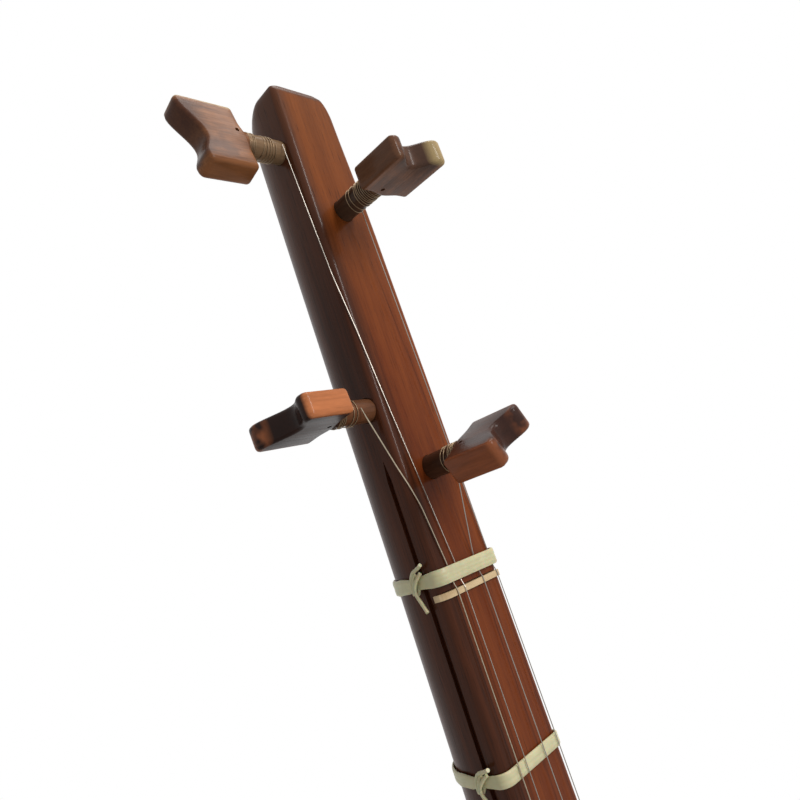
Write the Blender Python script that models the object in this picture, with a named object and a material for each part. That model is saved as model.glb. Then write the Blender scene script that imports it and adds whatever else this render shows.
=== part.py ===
"""Setar: a long-necked lute with a staved bowl, four pegs and tied frets.

Metres, +Z along the neck towards the head. The fingerboard faces -Y and the bass side is -X.
The origin is at the nut, in the middle of the fingerboard's face.
"""

import math

import bmesh
import bpy
from mathutils import Matrix, Vector

# Clearances
SEAT = 0.0003
RUN = 0.0003

# Scale and overall lengths
STRING_LENGTH = 0.650
HEAD_LENGTH = 0.1686
NECK_LENGTH = 0.455
BODY_LENGTH = 0.260

# Neck section
NECK_WIDTH = 0.026
NECK_WIDTH_AT_BODY = 0.030
NECK_DEPTH = 0.0257
SIDE_DEPTH = 0.0090
EDGE_ACROSS = 0.0030
EDGE_DOWN = 0.0022
HEEL_BLEND = 0.090
EDGE_STEPS = 3
BACK_STEPS = 10

# Head end
HEAD_NARROWING = 0.0014
HEAD_NARROW_LENGTH = 0.048
HEAD_CORNER_ACROSS = 0.0052
HEAD_CORNER_LENGTH = 0.0100
HEAD_BACK_ROUND = 0.0117
HEAD_BACK_LENGTH = 0.0145
HEAD_FRONT_BEVEL = 0.0010
HEAD_FRONT_BEVEL_LENGTH = 0.0025
HEAD_STEPS = 6

# Knot groove along the bass side
GROOVE_TOP = 0.0415
GROOVE_DEPTH_FROM_FACE = 0.0058
GROOVE_WIDTH = 0.0018
GROOVE_CUT = 0.0013
GROOVE_POINT = 0.0060
GROOVE_FOOT = 0.020

# Bowl
BODY_WIDTH = 0.156
BODY_DEPTH = 0.135
RIM_DEPTH = 0.0025
PEAR_NECK_POWER = 0.90
PEAR_TAIL_POWER = 0.50
TAIL_WIDTH = 0.029
STAVES = 11
STAVE_THICKNESS = 0.0028
STAVE_STEPS = 13
STAVE_FACETS = 2
NECK_BLOCK_LENGTH = 0.034
TAIL_BLOCK_LENGTH = 0.016
TAIL_CAP_THICKNESS = 0.0030
TENON_WIDTH = 0.014
TENON_DEPTH = 0.012
TENON_LENGTH = 0.018
TENON_FROM_FACE = 0.008

# Soundboard
BOARD_THICKNESS = 0.0022
BOARD_STEPS = 22
SOUND_HOLE = 0.0024
SOUND_HOLE_RING = 0.0052
SOUND_HOLE_SIDES = 8
FLOWER_PETALS = 6
FLOWER_SPREAD = 0.034
FLOWER_HEIGHT = 0.080

# Pegs: s is measured outward from the head's surface
PEG_SHAFT = 0.0074
PEG_TIP = 0.0060
PEG_TIP_RECESS = 0.0010
HANDLE_START = 0.0147
HANDLE_END = 0.0322
HANDLE_WIDTH = 0.0235
HANDLE_THICKNESS = 0.0078
HANDLE_HOLLOW = 0.0036
HANDLE_TIP = 0.0022
HANDLE_ROUND = 0.0010
STRING_HOLE = 0.0012
STRING_HOLE_INSET = 0.0022
SHAFT_SIDES = 20

# Pegs: name, face, height on the head, offset (depth on the side, across on the front), turn
PEG_PLACES = (
    ("side_upper", "side", 0.1474, 0.0066, 349.0),
    ("front_upper", "front", 0.1236, 0.0004, 270.0),
    ("side_lower", "side", 0.0575, 0.0054, 85.0),
    ("front_lower", "front", 0.0360, 0.0000, 243.0),
)

# Windings on the shafts: turns by the handle, turns by the string, and where each group starts
WIRE = 0.0004
WIRE_PITCH = 0.00092
TURN_POINTS = 24
WINDINGS = {
    "side_upper": (3, 0.0128, 3, 0.0062),
    "front_upper": (5, 0.0130, 2, 0.0066),
    "side_lower": (3, 0.0128, 2, 0.0092),
    "front_lower": (4, 0.0128, 1, 0.0078),
}

# Strings
STRING = 0.0003
BASS_STRING = 0.0004
NUT_PLACES = {"bass": -0.0079, "drone": -0.0045, "middle": 0.0043, "treble": 0.0112}
BRIDGE_PLACES = {"bass": -0.0100, "drone": -0.0065, "middle": 0.0035, "treble": 0.0115}
TAIL_PLACES = {"bass": -0.0090, "drone": -0.0032, "middle": 0.0032, "treble": 0.0090}
STRING_OF_PEG = {
    "side_lower": "bass",
    "side_upper": "drone",
    "front_lower": "middle",
    "front_upper": "treble",
}

# Nut
NUT_THICKNESS = 0.0018
NUT_RISE = 0.0010
NUT_SLOT = 0.0010
NUT_WRAP = 0.0030

# Bridge and tailpiece
BRIDGE_LENGTH = 0.060
BRIDGE_HEIGHT = 0.0055
BRIDGE_FOOT = 0.0056
BRIDGE_TOP = 0.0018
BRIDGE_FOOT_LENGTH = 0.016
BRIDGE_ARCH = 0.0022
TAILPIECE_WIDTH = 0.026
TAILPIECE_HEIGHT = 0.0135
TAILPIECE_THICKNESS = 0.0030
TAILPIECE_LIP = 0.0006
PIN = 0.0024
PIN_LENGTH = 0.0050
PIN_HEAD = 0.0036
PIN_DEPTH = 0.0085

# Gut band above the nut and tied frets
BAND_WIDTH = 0.0045
BAND_CENTRE = 0.0052
BAND_THICKNESS = 0.0008
BAND_LIFT = 0.0007
FRET_THICKNESS = 0.0008
FIRST_FRET_WIDTH = 0.0036
LAST_FRET_WIDTH = 0.0018
KNOT = 0.0028
FRET_CENTS = (137, 205, 295, 340, 410, 500, 565, 630, 700, 790, 835, 905,
              995, 1040, 1110, 1200, 1290, 1335, 1405, 1495, 1540, 1610, 1700, 1765)


def clear_scene():
    for obj in list(bpy.data.objects):
        bpy.data.objects.remove(obj, do_unlink=True)


def material(name, colour, roughness, metallic=0.0):
    """A Principled material, made once and then shared."""
    found = bpy.data.materials.get(name)
    if found:
        return found
    made = bpy.data.materials.new(name)
    made.use_nodes = True
    shader = made.node_tree.nodes["Principled BSDF"]
    shader.inputs["Base Color"].default_value = (*colour, 1.0)
    shader.inputs["Roughness"].default_value = roughness
    shader.inputs["Metallic"].default_value = metallic
    return made


def neck_wood():
    return material("neck_wood", (0.205, 0.046, 0.012), 0.30)


def peg_wood():
    return material("peg_wood", (0.300, 0.135, 0.060), 0.42)


def gut():
    return material("gut", (0.560, 0.540, 0.350), 0.50)


def bone():
    return material("bone", (0.780, 0.620, 0.440), 0.40)


def wire(name, colour):
    return material(name, colour, 0.28, 1.0)


def finish(bm, name, mat, smooth_angle=35.0, matrix=None):
    """Turns a bmesh into a named object with its normals outward."""
    bmesh.ops.recalc_face_normals(bm, faces=bm.faces)
    if bm.calc_volume(signed=True) < 0:
        bmesh.ops.reverse_faces(bm, faces=bm.faces)
    mesh = bpy.data.meshes.new(name)
    bm.to_mesh(mesh)
    bm.free()
    mesh.shade_smooth()
    mesh.set_sharp_from_angle(angle=math.radians(smooth_angle))
    mesh.materials.append(mat)
    obj = bpy.data.objects.new(name, mesh)
    bpy.context.collection.objects.link(obj)
    if matrix is not None:
        obj.matrix_world = matrix
    return obj


def loft(rings, closed_path=False):
    """Skins rings of equal count; the ends are capped unless the path is closed."""
    bm = bmesh.new()
    made = [[bm.verts.new(point) for point in ring] for ring in rings]
    pairs = list(zip(made, made[1:]))
    if closed_path:
        pairs.append((made[-1], made[0]))
    for low, high in pairs:
        count = len(low)
        for i in range(count):
            j = (i + 1) % count
            bm.faces.new((low[i], low[j], high[j], high[i]))
    if not closed_path:
        bm.faces.new(made[0])
        bm.faces.new(list(reversed(made[-1])))
    return bm


def extrude_outline(outline, low, high):
    """A flat outline of (x, y) points carried along Z."""
    return loft([[(x, y, z) for x, y in outline] for z in (low, high)])


def hide_as_cutter(obj):
    obj.hide_render = True
    obj.display_type = "WIRE"


def combine(obj, other, operation):
    """Adds a live Boolean with the exact solver and hides the other solid."""
    hide_as_cutter(other)
    boolean = obj.modifiers.new(other.name, "BOOLEAN")
    boolean.operation = operation
    boolean.solver = "EXACT"
    boolean.object = other


def cylinder(name, radius_low, radius_high, start, end, sides, mat):
    """A round solid or taper between two points."""
    axis = Vector(end) - Vector(start)
    bm = bmesh.new()
    bmesh.ops.create_cone(
        bm,
        cap_ends=True,
        segments=sides,
        radius1=radius_low,
        radius2=radius_high,
        depth=axis.length,
    )
    turn = axis.to_track_quat("Z", "Y").to_matrix().to_4x4()
    place = Matrix.Translation((Vector(start) + Vector(end)) / 2) @ turn
    bm.transform(place)
    return finish(bm, name, mat)


def tube(name, points, width, mat, resolution=1):
    """An unbroken round wire through the points, with closed ends."""
    curve = bpy.data.curves.new(name, "CURVE")
    curve.dimensions = "3D"
    curve.fill_mode = "FULL"
    curve.bevel_depth = width / 2
    curve.bevel_resolution = resolution
    curve.use_fill_caps = True
    curve.twist_mode = "MINIMUM"
    spline = curve.splines.new("POLY")
    spline.points.add(len(points) - 1)
    for slot, point in zip(spline.points, points):
        slot.co = (*point, 1.0)
    curve.materials.append(mat)
    obj = bpy.data.objects.new(name, curve)
    bpy.context.collection.objects.link(obj)
    return obj


# ---- Pear outline of the body


def pear(u):
    return u**PEAR_NECK_POWER * (1 - u) ** PEAR_TAIL_POWER


PEAR_WIDEST = PEAR_NECK_POWER / (PEAR_NECK_POWER + PEAR_TAIL_POWER)


def pear_at(width, low, high, rising):
    """The place along the pear where it is this wide, found by halving."""
    target = width / BODY_WIDTH * pear(PEAR_WIDEST)
    for _ in range(60):
        middle = (low + high) / 2
        if (pear(middle) < target) == rising:
            low = middle
        else:
            high = middle
    return (low + high) / 2


PEAR_START = pear_at(NECK_WIDTH_AT_BODY, 0.0, PEAR_WIDEST, True)
PEAR_END = pear_at(TAIL_WIDTH, PEAR_WIDEST, 1.0, False)
DEEPENING = (BODY_DEPTH - RIM_DEPTH) / (BODY_WIDTH / 2)
NECK_DEPTH_AT_BODY = RIM_DEPTH + DEEPENING * NECK_WIDTH_AT_BODY / 2


def body_half_width(u):
    return BODY_WIDTH / 2 * pear(u) / pear(PEAR_WIDEST)


def body_z(u):
    return -NECK_LENGTH - BODY_LENGTH * (u - PEAR_START) / (PEAR_END - PEAR_START)


def body_stations(count, start=0.0, end=1.0):
    """Places along the pear, closer together towards the tail."""
    found = []
    for i in range(count + 1):
        share = start + (end - start) * i / count
        eased = math.sin(share * math.pi / 2)
        found.append(PEAR_START + (PEAR_END - PEAR_START) * eased)
    return found


# ---- Neck outline


def blend(value):
    value = min(max(value, 0.0), 1.0)
    return value * value * (3 - 2 * value)


def rounding(z, length):
    """How far the end of the head has curved in, from 0 to 1."""
    share = (z - (HEAD_LENGTH - length)) / length
    share = min(max(share, 0.0), 1.0)
    return 1 - math.sqrt(max(0.0, 1 - share * share))


def neck_shape(z):
    """Half width, depth of the straight side, full depth and front at this height."""
    down = min(max(-z / NECK_LENGTH, 0.0), 1.0)
    half = (NECK_WIDTH + (NECK_WIDTH_AT_BODY - NECK_WIDTH) * down) / 2
    depth = NECK_DEPTH + (NECK_DEPTH_AT_BODY - NECK_DEPTH) * down
    heel = blend((-z - (NECK_LENGTH - HEEL_BLEND)) / HEEL_BLEND)
    side = SIDE_DEPTH + (RIM_DEPTH - SIDE_DEPTH) * heel
    corner_start = HEAD_LENGTH - HEAD_CORNER_LENGTH
    narrow = (z - (corner_start - HEAD_NARROW_LENGTH)) / HEAD_NARROW_LENGTH
    half -= HEAD_NARROWING * blend(narrow)
    half -= HEAD_CORNER_ACROSS * rounding(z, HEAD_CORNER_LENGTH)
    depth -= HEAD_BACK_ROUND * rounding(z, HEAD_BACK_LENGTH)
    bevel_start = HEAD_LENGTH - HEAD_FRONT_BEVEL_LENGTH
    front = HEAD_FRONT_BEVEL * max(0.0, (z - bevel_start) / HEAD_FRONT_BEVEL_LENGTH)
    return half, side, depth, front


def neck_outline(z, grow=0.0, lift=0.0):
    """Points round the neck from the bass corner, under the back, to the treble corner."""
    half, side, depth, front = neck_shape(z)
    points = []
    for i in range(EDGE_STEPS + 1):
        angle = math.pi / 2 * i / EDGE_STEPS
        x = half - EDGE_ACROSS + (EDGE_ACROSS + grow) * math.sin(angle)
        y = EDGE_DOWN - (EDGE_DOWN + grow + lift) * math.cos(angle)
        points.append((-x, y + front * math.cos(angle)))
    for i in range(BACK_STEPS + 1):
        angle = math.pi * i / BACK_STEPS
        x = -(half + grow) * math.cos(angle)
        y = side + (depth - side + grow) * math.sin(angle)
        points.append((x, y))
    mirrored = [(-x, y) for x, y in reversed(points[: EDGE_STEPS + 1])]
    return points + mirrored


def neck_heights():
    heel = [-NECK_LENGTH + HEEL_BLEND * share for share in (0.0, 0.25, 0.5, 0.75, 1.0)]
    corner_start = HEAD_LENGTH - HEAD_CORNER_LENGTH
    narrow_start = corner_start - HEAD_NARROW_LENGTH
    narrow = [narrow_start + HEAD_NARROW_LENGTH * share for share in (0.0, 0.35, 0.65)]
    back_start = HEAD_LENGTH - HEAD_BACK_LENGTH
    end = []
    for i in range(HEAD_STEPS + 1):
        end.append(back_start + HEAD_BACK_LENGTH * math.sin(math.pi / 2 * i / HEAD_STEPS))
    return heel + [0.0] + narrow + end


def groove_cutter():
    """A channel for the knots with a pointed start."""
    depths = (-GROOVE_WIDTH / 2, GROOVE_WIDTH / 2)
    foot = -NECK_LENGTH + GROOVE_FOOT
    places = ((foot, 1.0), (GROOVE_TOP - GROOVE_POINT, 1.0), (GROOVE_TOP, 0.12))
    rings = []
    for z, share in places:
        half = neck_shape(z)[0]
        inner = -half + GROOVE_CUT * share
        outer = -half - 0.004
        low = GROOVE_DEPTH_FROM_FACE + depths[0] * share
        high = GROOVE_DEPTH_FROM_FACE + depths[1] * share
        rings.append([(outer, low, z), (inner, low, z), (inner, high, z), (outer, high, z)])
    cutter = finish(loft(rings), "groove_cutter", neck_wood())
    return cutter


def nut_slot_cutter():
    half = NUT_THICKNESS / 2 + SEAT
    wide = NECK_WIDTH
    outline = ((-wide, -0.004), (wide, -0.004), (wide, NUT_SLOT), (-wide, NUT_SLOT))
    return finish(extrude_outline(outline, -half, half), "nut_slot_cutter", neck_wood())


def tenon_outline(clearance):
    half = TENON_WIDTH / 2 + clearance
    low = TENON_FROM_FACE - clearance
    high = TENON_FROM_FACE + TENON_DEPTH + clearance
    return ((-half, low), (half, low), (half, high), (-half, high))


def make_neck(peg_frames):
    rings = [[(x, y, z) for x, y in neck_outline(z)] for z in neck_heights()]
    neck = finish(loft(rings), "neck", neck_wood(), 28.0)
    overlap = 0.004
    tenon = extrude_outline(
        tenon_outline(0.0), -NECK_LENGTH - TENON_LENGTH, -NECK_LENGTH + overlap
    )
    combine(neck, finish(tenon, "tenon", neck_wood()), "UNION")
    combine(neck, groove_cutter(), "DIFFERENCE")
    combine(neck, nut_slot_cutter(), "DIFFERENCE")
    for name, frame, through in peg_frames:
        beyond = 0.003
        slope = (PEG_SHAFT - PEG_TIP) / 2 / through
        start = frame @ Vector((beyond, 0, 0))
        end = frame @ Vector((-through - beyond, 0, 0))
        wide = PEG_SHAFT / 2 + RUN + slope * beyond
        narrow = PEG_TIP / 2 + RUN - slope * beyond
        hole = cylinder(
            "hole_" + name, wide, narrow, start, end, SHAFT_SIDES, neck_wood()
        )
        combine(neck, hole, "DIFFERENCE")
    return neck


# ---- Bowl


def rim_angle(arc_share):
    """The angle round the half section that has this share of its arc, from -90 to 90."""
    steps = 180
    lengths = [0.0]
    for i in range(steps):
        angle = -math.pi / 2 + math.pi * (i + 0.5) / steps
        piece = math.hypot(math.cos(angle), DEEPENING * math.sin(angle)) * math.pi / steps
        lengths.append(lengths[-1] + piece)
    target = arc_share * lengths[-1]
    for i in range(steps):
        if lengths[i + 1] >= target:
            share = (target - lengths[i]) / (lengths[i + 1] - lengths[i])
            return -math.pi / 2 + math.pi * (i + share) / steps
    return math.pi / 2


def section_point(u, angle, inset):
    """A point of the half-oval section, this far inside the bowl's outer face."""
    half = body_half_width(u)
    wide = half - inset
    deep = DEEPENING * half - inset
    return (wide * math.sin(angle), RIM_DEPTH + deep * math.cos(angle), body_z(u))


def edge_angle(u, angle, gap):
    """Moves a stave's edge by a length round the section."""
    half = body_half_width(u)
    speed = half * math.hypot(math.cos(angle), DEEPENING * math.sin(angle))
    return angle + gap / speed


def make_stave(index):
    low = rim_angle(index / STAVES)
    high = rim_angle((index + 1) / STAVES)
    first = index == 0
    last = index == STAVES - 1
    stations = body_stations(STAVE_STEPS)
    rings = []
    for place, u in enumerate(stations):
        start = low if first else edge_angle(u, low, SEAT / 2)
        end = high if last else edge_angle(u, high, -SEAT / 2)
        angles = [start + (end - start) * i / STAVE_FACETS for i in range(STAVE_FACETS + 1)]
        ring = [section_point(u, angle, 0.0) for angle in angles]
        ring += [section_point(u, angle, STAVE_THICKNESS) for angle in reversed(angles)]
        z_shift = 0.0
        if place == 0:
            z_shift = -SEAT
        ring = [(x, y + SEAT, z + z_shift) for x, y, z in ring]
        rings.append(ring)
    light = index % 2 == 0
    colour = (0.250, 0.085, 0.030) if light else (0.130, 0.040, 0.016)
    mat = material("stave_light" if light else "stave_dark", colour, 0.32)
    return finish(loft(rings), f"bowl_stave_{index + 1:02d}", mat, 25.0)


def block_ring(z, top):
    """The bowl's inner section with a seat all round, closed by the board above."""
    stations = body_stations(STAVE_STEPS)
    above = [u for u in stations if body_z(u) >= z - 1e-9][-1]
    below = ([u for u in stations if body_z(u) < z - 1e-9] or [above])[0]
    span = body_z(above) - body_z(below)
    share = (body_z(above) - z) / span if span else 0.0
    inset = STAVE_THICKNESS + 2 * SEAT
    ring = []
    for i in range(STAVES + 1):
        angle = rim_angle(i / STAVES)
        high = Vector(section_point(above, angle, inset))
        low = Vector(section_point(below, angle, inset))
        point = high.lerp(low, share)
        ring.append((point.x, max(point.y, top), z))
    return ring


def make_blocks():
    wood = material("block_wood", (0.420, 0.270, 0.140), 0.60)
    top = BOARD_THICKNESS + SEAT
    rings = []
    for i in range(4):
        z = -NECK_LENGTH - SEAT - NECK_BLOCK_LENGTH * i / 3
        rings.append(block_ring(z, top))
    neck_block = finish(loft(rings), "neck_block", wood)
    mortise = extrude_outline(
        tenon_outline(SEAT),
        -NECK_LENGTH - TENON_LENGTH - SEAT,
        -NECK_LENGTH + 0.002,
    )
    combine(neck_block, finish(mortise, "mortise", wood), "DIFFERENCE")
    rings = []
    for i in range(6):
        z = body_end() + SEAT + TAIL_BLOCK_LENGTH * (1 - i / 5) ** 1.6
        rings.append(block_ring(z, top))
    tail_block = finish(loft(rings), "tail_block", wood)
    return neck_block, tail_block


def body_end():
    return -NECK_LENGTH - BODY_LENGTH


def make_tail_cap():
    """The end plate that covers the stave ends and the board's end grain."""
    low = body_end() - SEAT - TAIL_CAP_THICKNESS
    rings = []
    half = TAIL_WIDTH / 2
    for z, inset in ((body_end() - SEAT, 0.0), (low + 0.0012, 0.0), (low, 0.0012)):
        ring = [(-(half - inset), inset, z)]
        for i in range(BACK_STEPS + 1):
            angle = -math.pi / 2 + math.pi * i / BACK_STEPS
            wide = half - inset
            deep = DEEPENING * half - inset
            ring.append((wide * math.sin(angle), RIM_DEPTH + deep * math.cos(angle), z))
        ring.append((half - inset, inset, z))
        rings.append(ring)
    mat = material("cap_wood", (0.090, 0.030, 0.014), 0.34)
    return finish(loft(rings), "tail_cap", mat)


# ---- Soundboard


def flower_centres():
    """Three groups of small holes, one above and two below, in the board's middle."""
    middle = -STRING_LENGTH + FLOWER_HEIGHT
    spread = FLOWER_SPREAD
    return ((0.0, middle + spread * 0.6), (-spread * 0.62, middle), (spread * 0.62, middle))


def make_soundboard():
    outline = []
    stations = body_stations(BOARD_STEPS)
    for place, u in enumerate(stations):
        z = body_z(u) - (SEAT if place == 0 else 0.0)
        outline.append((body_half_width(u), z))
    outline += [(-x, z) for x, z in reversed(outline)]
    rings = [[(x, y, z) for x, z in outline] for y in (0.0, BOARD_THICKNESS)]
    mat = material("board_wood", (0.520, 0.300, 0.130), 0.45)
    board = finish(loft(rings), "soundboard", mat)
    bm = bmesh.new()
    for centre_x, centre_z in flower_centres():
        spots = [(centre_x, centre_z)]
        for i in range(FLOWER_PETALS):
            angle = 2 * math.pi * i / FLOWER_PETALS
            x = centre_x + SOUND_HOLE_RING * math.cos(angle)
            z = centre_z + SOUND_HOLE_RING * math.sin(angle)
            spots.append((x, z))
        for x, z in spots:
            place = Matrix.Translation((x, BOARD_THICKNESS / 2, z))
            place = place @ Matrix.Rotation(math.pi / 2, 4, "X")
            bmesh.ops.create_cone(
                bm,
                cap_ends=True,
                segments=SOUND_HOLE_SIDES,
                radius1=SOUND_HOLE / 2,
                radius2=SOUND_HOLE / 2,
                depth=BOARD_THICKNESS * 3,
                matrix=place,
            )
    combine(board, finish(bm, "sound_holes", mat), "DIFFERENCE")
    return board


# ---- Pegs and windings


def peg_frame(face, height, offset, turn):
    """Axes of a peg: X outward along its shaft, Y across its handle."""
    angle = math.radians(turn)
    if face == "side":
        outward = Vector((-1, 0, 0))
        sideways = Vector((0, -1, 0))
        place = Vector((-neck_shape(height)[0], offset, height))
    else:
        outward = Vector((0, -1, 0))
        sideways = Vector((1, 0, 0))
        place = Vector((offset, 0, height))
    across = Vector((0, 0, 1)) * math.cos(angle) + sideways * math.sin(angle)
    third = outward.cross(across)
    turned = Matrix((outward, across, third)).transposed().to_4x4()
    return Matrix.Translation(place) @ turned


def peg_reach(face, height):
    half, _, depth, _ = neck_shape(height)
    return 2 * half if face == "side" else depth


def shaft_radius(s, through):
    return PEG_SHAFT / 2 + (PEG_SHAFT - PEG_TIP) / 2 * s / through


def handle_outline():
    """The T-shaped grip: square at the shaft, hollowed at its outer end."""
    half = HANDLE_WIDTH / 2
    clip = HANDLE_TIP
    points = [(HANDLE_START, -half + clip * 0.6), (HANDLE_START + clip * 0.6, -half)]
    points.append((HANDLE_END - clip, -half))
    points.append((HANDLE_END - clip * 0.3, -half + clip * 0.3))
    points.append((HANDLE_END, -half + clip))
    steps = 8
    reach = half - 1.6 * clip
    for i in range(steps + 1):
        w = -reach + 2 * reach * i / steps
        share = w / reach
        points.append((HANDLE_END - HANDLE_HOLLOW * (1 - share * share) - 0.0002, w))
    points.append((HANDLE_END, half - clip))
    points.append((HANDLE_END - clip * 0.3, half - clip * 0.3))
    points.append((HANDLE_END - clip, half))
    points.append((HANDLE_START + clip * 0.6, half))
    points.append((HANDLE_START, half - clip * 0.6))
    return points


def make_peg(name, frame, through):
    empty = bpy.data.objects.new("axis_" + name, None)
    empty.matrix_world = frame
    bpy.context.collection.objects.link(empty)
    half = HANDLE_THICKNESS / 2
    rings = [[(s, w, t) for s, w in handle_outline()] for t in (-half, half)]
    peg = finish(loft(rings), "peg_" + name, peg_wood(), 40.0)
    bevel = peg.modifiers.new("rounded_edges", "BEVEL")
    bevel.width = HANDLE_ROUND
    bevel.segments = 2
    bevel.limit_method = "ANGLE"
    bevel.angle_limit = math.radians(60)
    into = 0.006
    tip = -(through - PEG_TIP_RECESS)
    shaft = cylinder(
        "shaft_" + name,
        shaft_radius(HANDLE_START + into, through),
        shaft_radius(tip, through),
        (HANDLE_START + into, 0, 0),
        (tip, 0, 0),
        SHAFT_SIDES,
        peg_wood(),
    )
    combine(peg, shaft, "UNION")
    s = HANDLE_START + STRING_HOLE_INSET
    hole = cylinder(
        "string_hole_" + name,
        STRING_HOLE / 2,
        STRING_HOLE / 2,
        (s, 0.0, -HANDLE_THICKNESS),
        (s, 0.0, HANDLE_THICKNESS),
        8,
        peg_wood(),
    )
    combine(peg, hole, "DIFFERENCE")
    for obj in (peg, shaft, hole):
        obj.parent = empty
    return peg, empty


def winding_points(name, through):
    """Close turns by the handle, a quick step in, and close turns where the string leaves."""
    near, near_start, far, far_start = WINDINGS[name]
    step_turns = 1.0
    total = near + step_turns + far
    count = int(round(total * TURN_POINTS))
    points = []
    for i in range(count + 1):
        turns = i / TURN_POINTS
        if turns <= near:
            s = near_start - WIRE_PITCH * turns
        elif turns <= near + step_turns:
            share = blend(turns - near)
            s = (near_start - WIRE_PITCH * near) * (1 - share) + far_start * share
        else:
            s = far_start - WIRE_PITCH * (turns - near - step_turns)
        radius = shaft_radius(s, through) + RUN + WIRE / 2
        angle = 2 * math.pi * turns
        points.append(Vector((s, radius * math.cos(angle), radius * math.sin(angle))))
    return points


def least_gap(points, width):
    """The smallest clear distance between one turn of a wire and the others."""
    least = 1.0
    for i, first in enumerate(points):
        for second in points[i + TURN_POINTS // 2 :]:
            least = min(least, (first - second).length)
    return least - width


def make_winding(name, through, empty):
    points = winding_points(name, through)
    gap = least_gap(points, WIRE)
    print(f"winding_{name}: least gap to itself {gap * 1000:.3f} mm")
    brass = wire("brass_wire", (0.62, 0.48, 0.27))
    steel = wire("steel_wire", (0.60, 0.59, 0.57))
    mat = brass if STRING_OF_PEG[name] in ("bass", "treble") else steel
    coil = tube("winding_" + name, points, WIRE, mat)
    coil.parent = empty
    return coil


# ---- Strings


def nut_top():
    return -NUT_RISE - STRING / 2


def take_off(name, frame, through):
    """Where a string leaves its peg, clear of the turning wire."""
    near, near_start, far, far_start = WINDINGS[name]
    s = far_start - WIRE_PITCH * far - WIRE - STRING - RUN
    radius = shaft_radius(s, through) + RUN + WIRE / 2
    centre = frame @ Vector((s, 0, 0))
    return centre, radius


def rounded(points, radius, steps=3):
    """Replaces each corner with a short arc-like bend."""
    made = [points[0]]
    for before, corner, after in zip(points, points[1:], points[2:]):
        back = before - corner
        on = after - corner
        reach = min(radius, back.length / 2.5, on.length / 2.5)
        start = corner + back.normalized() * reach
        end = corner + on.normalized() * reach
        for i in range(steps + 1):
            t = i / steps
            made.append(start * (1 - t) ** 2 + corner * 2 * t * (1 - t) + end * t * t)
    made.append(points[-1])
    return made


def band_underpass(x, high):
    y = -(SEAT + STRING / 2)
    return Vector((x, y, BAND_CENTRE + (BAND_WIDTH / 2 + 0.0006) * (1 if high else -1)))


def edge_point(angle, z, clear):
    """A place over the rounded bass edge, this far off the wood."""
    half = neck_shape(z)[0]
    x = half - EDGE_ACROSS + (EDGE_ACROSS + clear) * math.sin(angle)
    y = EDGE_DOWN - (EDGE_DOWN + clear) * math.cos(angle)
    return Vector((-x, y, z))


def tail_path(name):
    """From the bridge over the tailpiece's lip and round its pin."""
    x = TAIL_PLACES[name]
    off = STRING / 2 + SEAT
    front = -TAILPIECE_LIP - off
    back = tailpiece_back() - off
    pin_z = back
    loop = PIN / 2 + SEAT + STRING / 2
    points = [
        Vector((BRIDGE_PLACES[name], -BRIDGE_HEIGHT, -STRING_LENGTH)),
        Vector((x - loop, front, tailpiece_front() + 0.0004)),
        Vector((x - loop, front, pin_z + 0.0004)),
        Vector((x - loop, front + 0.0007, pin_z)),
        Vector((x - loop, PIN_DEPTH, pin_z)),
    ]
    for i in range(1, 6):
        angle = math.pi - math.pi * i / 5
        points.append(
            Vector((x + loop * math.cos(angle), PIN_DEPTH + loop * math.sin(angle), pin_z))
        )
    points.append(Vector((x + loop, PIN_DEPTH - 0.0026, pin_z)))
    return points


def make_string(name, peg_name, frame, through):
    width = BASS_STRING if name == "bass" else STRING
    centre, radius = take_off(peg_name, frame, through)
    clear = SEAT + width / 2
    x = NUT_PLACES[name]
    if peg_name.startswith("side"):
        start = centre + Vector((0, -radius, 0))
        high = 0.100 if name == "drone" else 0.0385
        low = 0.062 if name == "drone" else 0.0255
        lead = [
            edge_point(math.radians(62), high, clear),
            edge_point(math.radians(30), (high + low) / 2, clear),
            edge_point(math.radians(5), low, clear),
        ]
    else:
        start = centre + Vector((radius, 0, 0))
        lead = []
    points = [start] + lead + [band_underpass(x, True), band_underpass(x, False)]
    points.append(Vector((x, nut_top(), NUT_THICKNESS / 2)))
    points.append(Vector((x, nut_top(), -NUT_THICKNESS / 2)))
    tail = tail_path(name)
    path = rounded(points + [tail[0]], 0.0008, 1) + tail[1:]
    colours = {
        "bass": ("brass_string", (0.66, 0.50, 0.28)),
        "treble": ("steel_string", (0.66, 0.66, 0.65)),
        "middle": ("steel_string", (0.66, 0.66, 0.65)),
        "drone": ("steel_string", (0.66, 0.66, 0.65)),
    }
    return tube("string_" + name, path, width, wire(*colours[name]), 1)


# ---- Nut, bridge and tailpiece


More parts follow.
